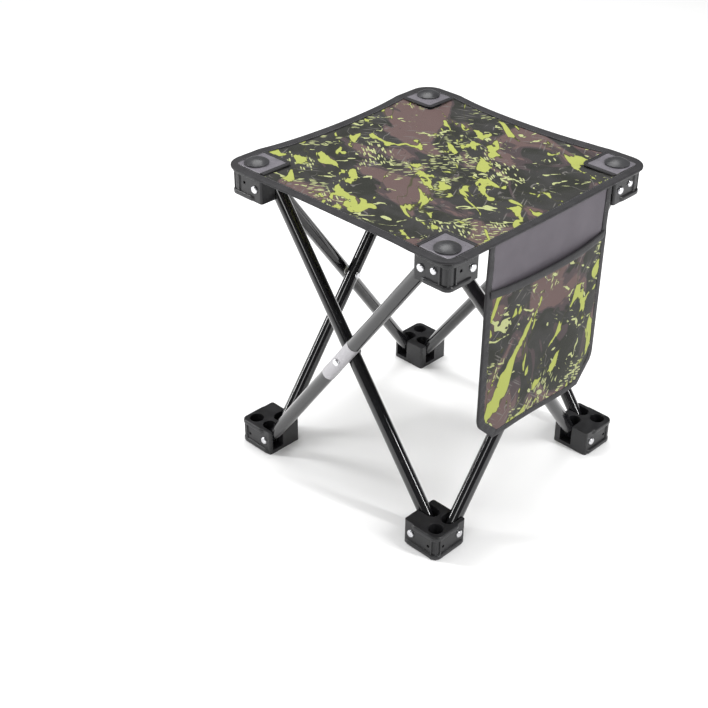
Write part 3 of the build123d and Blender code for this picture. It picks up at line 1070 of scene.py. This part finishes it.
    def patch(self, corner: str, signs: Plan) -> bpy.types.Object:
        """One corner patch with its bound inner edges."""
        low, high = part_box("corner_patch_" + corner)
        size = high.x - low.x
        centre = (low + high) / 2
        cells = self.patch_cells
        base = low.z
        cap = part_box("cap_" + corner)
        post = ((cap[0] + cap[1]) / 2).xy
        mesh, border = Mesh(), Mesh()
        rows = []
        for j in range(cells + 1):
            row = []
            for i in range(cells + 1):
                a, b = 2 * i / cells - 1, 2 * j / cells - 1
                x, y = self.rounded(a, b, size / 2, self.patch_round)
                edge = max(abs(a), abs(b))
                pillow = self.patch_pillow * (1 - edge**6) + 0.12 * MM * math.sin(9 * a + 4 * b)
                near = math.hypot(centre.x + x - post.x, centre.y + y - post.y)
                lift = 0.15 * MM + pillow * smooth(near, 8 * MM, 17 * MM)
                row.append(((centre.x + x, centre.y + y, base + lift), (x, y), NO_SHIFT))
            rows.append(row)
        mesh.grid(rows)
        piece = mesh.build("patch_" + corner, FINISHES.get(SLOT_FINISH[Slot.PATCH]))
        solid = piece.modifiers.new("cloth", "SOLIDIFY")
        solid.thickness = self.patch_cloth
        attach(piece, "hub_" + corner)
        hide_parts("corner_patch_" + corner)
        self.patch_border(border, centre, signs, size, base)
        edge_piece = border.build("patch_edging_" + corner, FINISHES.get(SLOT_FINISH[Slot.TAPE]))
        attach(edge_piece, "hub_" + corner)
        LOG.info("patch %s", corner)
        return piece

    def patch_border(self, mesh: Mesh, centre: Vector, signs: Plan, size: float, base: float) -> None:
        """Adds the rolled edging along the two inner edges of a patch.

        Args:
            mesh: what it is added to.
            centre: the patch's middle.
            signs: the corner's side of the stool, on each axis.
            size: the patch's width.
            base: the height that it lies at.
        """
        width, steps = self.edging_width, 16
        profile = []
        for k in range(steps + 1):
            ridges = abs(math.sin(2 * math.pi * k / steps)) ** 0.7
            lift = 0.55 * MM + 0.75 * MM * ridges if 0 < k < steps else -0.1 * MM
            profile.append((width * (k / steps - 0.5), lift))
        half, bend = size / 2, 5 * MM
        path = [((half - 8 * MM * t), -half) for t in (0.0, 0.5, 1.0)]
        path += [(half + (bend - 2 * half) * k / 10, -half) for k in range(3, 10)]
        centre_of_bend = bend - half
        for k in range(9):
            angle = math.pi / 2 * k / 8
            path.append((centre_of_bend - bend * math.sin(angle), centre_of_bend - bend * math.cos(angle)))
        path += [(-half, -half + bend + (2 * half - bend) * k / 10) for k in range(1, 11)]
        rows = []
        for k, (u, v) in enumerate(path):
            before, after = Vector(path[max(k - 1, 0)]), Vector(path[min(k + 1, len(path) - 1)])
            along = (after - before).normalized()
            out = Vector((-along.y, along.x))
            row = []
            for offset, lift in profile:
                p, q = u + out.x * offset, v + out.y * offset
                x, y = centre.x + p * signs[0], centre.y + q * signs[1]
                row.append(((x, y, base + lift), (k * 3 * MM, offset), NO_SHIFT))
            rows.append(row if signs[0] * signs[1] > 0 else row[::-1])
        mesh.grid(rows)

    def build(self) -> None:
        """Makes the seat's pieces."""
        cloth = self.cloth()
        tape = self.tape()
        thread = self.sewing()
        LOG.info("seat cloth, tape and stitching")
        for corner, signs in CORNERS.items():
            piece = self.patch(corner, signs)


# ---------------------------------------------------------------- side pocket


@dataclass
class Pocket:
    """The pocket that hangs from the seat's edge: lining, pouch, tapes and sewing."""

    seat: Seat
    follower: FoldFollower
    tape_width: float = 9 * MM
    tape_cloth: float = 0.3 * MM
    seam: Sewing = Sewing(0.28 * MM)
    pleat_pitch: float = 36 * MM
    pleat_depth: float = 15 * MM
    gathered: float = 0.44
    corner_cut: float = 28 * MM
    corner_round: float = 10 * MM
    cloth: float = 0.8 * MM
    fullness: float = 5.0 * MM
    relax: float = 110 * MM
    mouth_sag: float = 4.5 * MM
    clear: float = 5.5 * MM
    half: float = 0.0
    low: float = 0.0
    top: float = 0.0
    mouth: float = 0.0
    back: float = 0.0

    def __post_init__(self) -> None:
        """Reads the pocket's size and place from the frame."""
        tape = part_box("pocket_edge_tape")
        self.half = tape[1].y
        self.low = tape[0].z
        self.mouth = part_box("pocket_mouth_tape")[1].z
        self.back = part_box("pocket_back")[1].x
        self.top = self.seat.surface(self.seat.half, 0).z - 0.5 * MM

    def width(self, z: float, inset: float = 0.0) -> float:
        """Half the pocket's width at a height, inside its cut corners."""
        rise = z - self.low - inset
        cut = self.corner_cut - rise - inset * 0.41
        if cut <= -self.corner_round:
            return self.half - inset
        if cut > self.corner_round / 3:
            return self.half - inset - cut
        return self.half - inset - (cut + self.corner_round) ** 2 / (5.33 * self.corner_round)

    def lean(self, y: float, z: float) -> float:
        """How far the hanging cloth stands out from its flat place."""
        down = (self.top - z) / (self.top - self.low)
        drape = 1.3 * MM * math.sin(2.6 * y / self.half + 0.6) * down
        return drape + 0.9 * MM * down * math.sin(5.2 * y / self.half - 1.0)

    def pouch_out(self, y: float, z: float) -> float:
        """How far the pouch stands out from the lining."""
        w = max(self.width(z, self.tape_width * 0.5), 1 * MM)
        across = max(0.0, 1 - (y / w) ** 4)
        up = (z - self.low) / (self.mouth - self.low)
        full = self.fullness * across * smooth(up, 0.0, 0.25) * mixed(0.75, 1.0, smooth(up, 0.6, 1.0))
        ripple = math.sin(41 * y + 23 * z) * 0.5 + math.sin(22 * y - 37 * z + 1.0) * 0.6
        return 1.2 * MM + full + 0.7 * MM * ripple * across * smooth(up, 0.0, 0.2)

    def shift(self, y: float, z: float) -> tuple[Point, Point]:
        """How far a place of the pocket moves, from the open stool to the folded one."""
        c = self.seat.crumple
        down = max(0.0, self.top - z)
        free = 1 - math.exp(-down / self.relax)
        rise = c.height(y)
        gather = (self.clear * smooth(down, 0, 14 * MM) - c.travel, c.along(y) - y, c.rise * rise)
        loose = self.gathered * y
        pleat = 0.5 * (1 - math.cos(2 * math.pi * y / self.pleat_pitch))
        pleats = pleat * self.pleat_depth * smooth(down, 0, 60 * MM)
        drape = (pleats, (loose - c.along(y)) * free, -0.62 * c.rise * rise * free)
        return gather, drape

    def sheet_rows(self, top: float, inset: float, out: Callable[[float, float], float],
                   rows: int, columns: int) -> list[list[tuple]]:
        """A cloth from the pocket's foot up to a height.

        Args:
            top: its upper edge.
            inset: how far inside the pocket's outline its edges are.
            out: how far each place stands out from the lining.
            rows: cells up.
            columns: cells across.

        Returns:
            Rows for a mesh.
        """
        made = []
        start = self.low + inset
        for r in range(rows + 1):
            z = mixed(start, top, (r / rows) ** 0.9)
            w = self.width(z, inset)
            row = []
            for k in range(columns + 1):
                y = w * (2 * k / columns - 1)
                x = self.back + self.lean(y, z) + out(y, z)
                row.append((self.hung(x, y, z), (y, z), self.shift(y, z)))
            made.append(row)
        return made

    def hung(self, x: float, y: float, z: float) -> Vector:
        """A place of the pocket with its top drawn to the seat's edge."""
        edge = self.seat.surface(self.seat.half - 4 * MM, y)
        near = smooth(z, self.top - 60 * MM, self.top)
        slack = smooth(z, self.mouth - 70 * MM, self.mouth) * (1 - smooth(z, self.mouth + 1 * MM, self.top))
        z -= self.mouth_sag * (1 - (y / self.half) ** 2) * slack
        return Vector((mixed(x, edge.x + x - self.back - 1.5 * MM, near), y,
                       z + (edge.z - 2.0 * MM - self.top) * near))

    def path(self, inset: float, top: float) -> list[Plan]:
        """The pocket's outline from one upper corner round its foot to the other, moved in."""
        count = 150
        low = self.low + inset
        right = []
        for k in range(count + 1):
            z = mixed(top, low, (1 - (1 - k / count) ** 1.35))
            right.append((self.width(z, inset), z))
        foot = right[-1][0]
        bottom = [(foot * (1 - 2 * k / 40), low) for k in range(1, 40)]
        return right + bottom + [(-y, z) for y, z in reversed(right)]

    def binding(self, name: str, top: float, inner: float,
                outer: Callable[[float, float], float]) -> bpy.types.Object:
        """Tape folded over the pocket's edge.

        Args:
            name: the piece's name.
            top: where it ends at each side.
            inner: how far it stands behind the lining.
            outer: how far it stands out in front, at a place.

        Returns:
            The piece.
        """
        mesh = Mesh()
        width = self.tape_width
        front = (width, width - 0.5 * MM, width * 0.5, 1.6 * MM, 0.4 * MM)
        insets = (*front, 0.0, *reversed(front))
        fronts = (0.25, 0.6, 0.75, 0.8, 0.45, 0.0, -0.45, -0.8, -0.75, -0.6, -0.25)
        paths = {inset: self.path(inset, top) for inset in insets}
        rows = []
        travelled = 0.0
        last = None
        for k in range(len(paths[0.0])):
            row = []
            pucker = 0.2 * MM * math.sin(travelled / (1.9 * MM))
            pucker += 0.25 * MM * math.sin(travelled / (6.1 * MM))
            for number, (inset, share) in enumerate(zip(insets, fronts)):
                y, z = paths[inset][k]
                place = self.back + self.lean(y, z)
                if share > 0:
                    x = place + outer(y, z) + share * MM + pucker * smooth(inset, 0, width)
                elif share < 0:
                    x = place - inner + share * MM
                else:
                    x = place + (outer(y, z) - inner) / 2
                row.append((self.hung(x, y, z), (travelled, number * 1.9 * MM), self.shift(y, z)))
            here = Vector(paths[0.0][k])
            travelled += (here - last).length if last is not None else 0.0
            last = here
            rows.append(row)
        mesh.grid(rows)
        piece = mesh.build(name, FINISHES.get(SLOT_FINISH[Slot.TAPE]))
        return self.follower.attach(piece, "pocket", self.tape_cloth)

    def edge_out(self, y: float, z: float) -> float:
        """How far the edge tape's front stands out, over the pouch below the mouth."""
        if z >= self.mouth + 4 * MM:
            return 0.0
        return (self.pouch_out(y, z) - 0.5 * MM) * smooth(z, self.mouth + 4 * MM, self.mouth - 6 * MM)

    def mouth_tape(self) -> bpy.types.Object:
        """Tape folded over the pouch's upper edge."""
        mesh = Mesh()
        wide = self.width(self.mouth, self.tape_width * 0.6)
        section = ((9.0, 0.35), (8.6, 0.75), (5.0, 0.8), (1.5, 0.8), (0.3, 0.5), (-0.4, -0.4), (0.3, -1.3),
                   (1.5, -1.6), (5.0, -1.6), (8.6, -1.5), (9.0, -1.1))
        rows = []
        columns = 110
        for k in range(columns + 1):
            y = wide * (2 * k / columns - 1)
            row = []
            for drop, out in section:
                z = self.mouth - drop * MM
                x = self.back + self.lean(y, z) + self.pouch_out(y, min(z, self.mouth)) + out * MM
                row.append((self.hung(x, y, z), (y, drop * MM), self.shift(y, z)))
            rows.append(row)
        mesh.grid(rows)
        piece = mesh.build("pocket_mouth_binding", FINISHES.get(SLOT_FINISH[Slot.TAPE]))
        return self.follower.attach(piece, "pocket", self.tape_cloth)

    def sewing(self) -> bpy.types.Object:
        """The stitches along the pocket's tapes."""
        mesh = Mesh()
        front = Vector((1, 0, 0))
        line = []
        for y, z in self.path(self.tape_width - 1.5 * MM, self.mouth - 3 * MM):
            x = self.back + self.lean(y, z) + self.edge_out(y, z) + 0.75 * MM
            line.append((self.hung(x, y, z), front, self.shift(y, z)))
        self.seam.run(mesh, line)
        wide = self.width(self.mouth, self.tape_width)
        for drop in (1.6 * MM, 7.6 * MM):
            line = []
            for k in range(81):
                y, z = wide * (k / 40 - 1), self.mouth - drop
                x = self.back + self.lean(y, z) + self.pouch_out(y, z) + 0.85 * MM
                line.append((self.hung(x, y, z), front, self.shift(y, z)))
            self.seam.run(mesh, line)
        for side in (-1, 1):
            line = []
            for k in range(41):
                z = mixed(self.mouth + 5 * MM, self.top - 6 * MM, k / 40)
                y = side * (self.half - self.tape_width + 1.5 * MM)
                x = self.back + self.lean(y, z) + 0.75 * MM
                line.append((self.hung(x, y, z), front, self.shift(y, z)))
            self.seam.run(mesh, line)
        piece = mesh.build("pocket_stitching", FINISHES.get(THREAD))
        self.follower.attach(piece, "pocket")
        return piece

    def build(self) -> None:
        """Makes the pocket's pieces."""
        lining, pouch = Mesh(), Mesh()
        lining.grid(self.sheet_rows(self.top + 1 * MM, 1.2 * MM, lambda y, z: 0.0, 90, 60))
        pouch.grid(self.sheet_rows(self.mouth, 1.2 * MM, self.pouch_out, 90, 80))
        back = lining.build("pocket_lining_cloth", FINISHES.get(SLOT_FINISH[Slot.LINING]))
        front = pouch.build("pocket_pouch_cloth", FINISHES.get(POCKET_CANVAS))
        self.follower.attach(back, "pocket", self.cloth)
        self.follower.attach(front, "pocket", self.cloth)
        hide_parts("pocket_back")
        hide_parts("pocket_pouch")
        edge = self.binding("pocket_edge_binding", self.top, self.cloth, self.edge_out)
        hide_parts("pocket_edge_tape")
        mouth = self.mouth_tape()
        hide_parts("pocket_mouth_tape")
        thread = self.sewing()
        LOG.info("pocket lining, pouch, tapes and stitching")


# ---------------------------------------------------------------- studio


@dataclass
class Studio:
    """Pale floor, soft lights and the camera."""

    eye: Point = (0.91731, -1.05149, 1.02907)
    aim: Point = (-0.04516, -0.08883, 0.15206)
    roll: float = 0.11
    lens: float = 67.07
    floor_half: float = 30.0
    sky_diffuse: float = 0.62
    sky_reflected: float = 0.12

    def camera(self) -> None:
        """Makes the camera."""
        data = bpy.data.cameras.new("camera")
        data.lens = self.lens
        data.sensor_width = 36.0
        camera = bpy.data.objects.new("camera", data)
        look = (Vector(self.aim) - Vector(self.eye)).to_track_quat("-Z", "Y").to_euler()
        camera.location = self.eye
        camera.rotation_euler = look
        camera.rotation_euler.rotate_axis("Z", math.radians(self.roll))
        bpy.context.scene.collection.objects.link(camera)
        bpy.context.scene.camera = camera

    def floor(self) -> None:
        """Makes the floor."""
        g = Graph("pale_floor", 0.85)
        cloud = g.noise(g.solid_place(), 3, 2)
        material = g.done({"Base Color": g.mix(cloud, (0.93, 0.93, 0.93), (0.95, 0.95, 0.95)),
                           "Specular IOR Level": 0.1})
        data = bpy.data.meshes.new("floor")
        h = self.floor_half
        data.from_pydata([(-h, -h, 0), (h, -h, 0), (h, h, 0), (-h, h, 0)], [], [(0, 1, 2, 3)])
        data.materials.append(material)
        floor = bpy.data.objects.new("floor", data)
        bpy.context.scene.collection.objects.link(floor)

    def light(self, name: str, place: Point, size: Plan, power: float) -> None:
        """Adds one softbox that faces the stool.

        Args:
            name: its name.
            place: where it stands.
            size: its width and height.
            power: in watts.
        """
        data = bpy.data.lights.new(name, "AREA")
        data.shape = "RECTANGLE"
        data.size, data.size_y = size
        data.energy = power
        lamp = bpy.data.objects.new(name, data)
        lamp.location = place
        lamp.rotation_euler = (Vector((0, 0, 0.2)) - Vector(place)).to_track_quat("-Z", "Y").to_euler()
        bpy.context.scene.collection.objects.link(lamp)

    def build(self) -> None:
        """Makes the whole studio."""
        self.camera()
        self.floor()
        world = bpy.data.worlds.new("studio")
        world.use_nodes = True
        nodes, links = world.node_tree.nodes, world.node_tree.links
        background = next(n for n in nodes if n.type == "BACKGROUND")
        background.inputs[0].default_value = (1.0, 1.0, 1.0, 1.0)
        rays = nodes.new("ShaderNodeLightPath")
        lit, level = nodes.new("ShaderNodeMapRange"), nodes.new("ShaderNodeMapRange")
        lit.inputs["To Min"].default_value = self.sky_reflected
        lit.inputs["To Max"].default_value = self.sky_diffuse
        level.inputs["To Max"].default_value = 1.0
        links.new(rays.outputs["Is Diffuse Ray"], lit.inputs["Value"])
        links.new(rays.outputs["Is Camera Ray"], level.inputs["Value"])
        links.new(lit.outputs[0], level.inputs["To Min"])
        links.new(level.outputs[0], background.inputs[1])
        bpy.context.scene.world = world
        self.light("top_softbox", (-0.5, 0.3, 2.3), (1.5, 1.5), 36)
        self.light("left_strip", (-1.5, -1.1, 1.1), (0.16, 1.6), 22)
        self.light("right_strip", (1.55, 0.35, 1.2), (0.14, 1.6), 22)
        self.light("front_fill", (0.9, -2.2, 1.3), (0.5, 0.9), 6)
        bpy.context.scene.view_settings.view_transform = "Standard"
        LOG.info("studio ready")


def main() -> None:
    """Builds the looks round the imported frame."""
    logging.basicConfig(level=logging.INFO, format="%(name)s: %(message)s")
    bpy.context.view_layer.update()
    hub_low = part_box("hub_front_right")[0]
    slide = next(j for j in frame["joints"] if j["name"] == "seat_follow")
    travel = slide["range_m"][1] / math.sqrt(2)
    follower = FoldFollower(travel)
    crumple = Crumple(free=hub_low.x, travel=travel)
    Studio().build()
    LegFrame().dress()
    seat = Seat(crumple, follower)
    seat.build()
    Pocket(seat, follower).build()


if __name__ == "__main__":
    main()
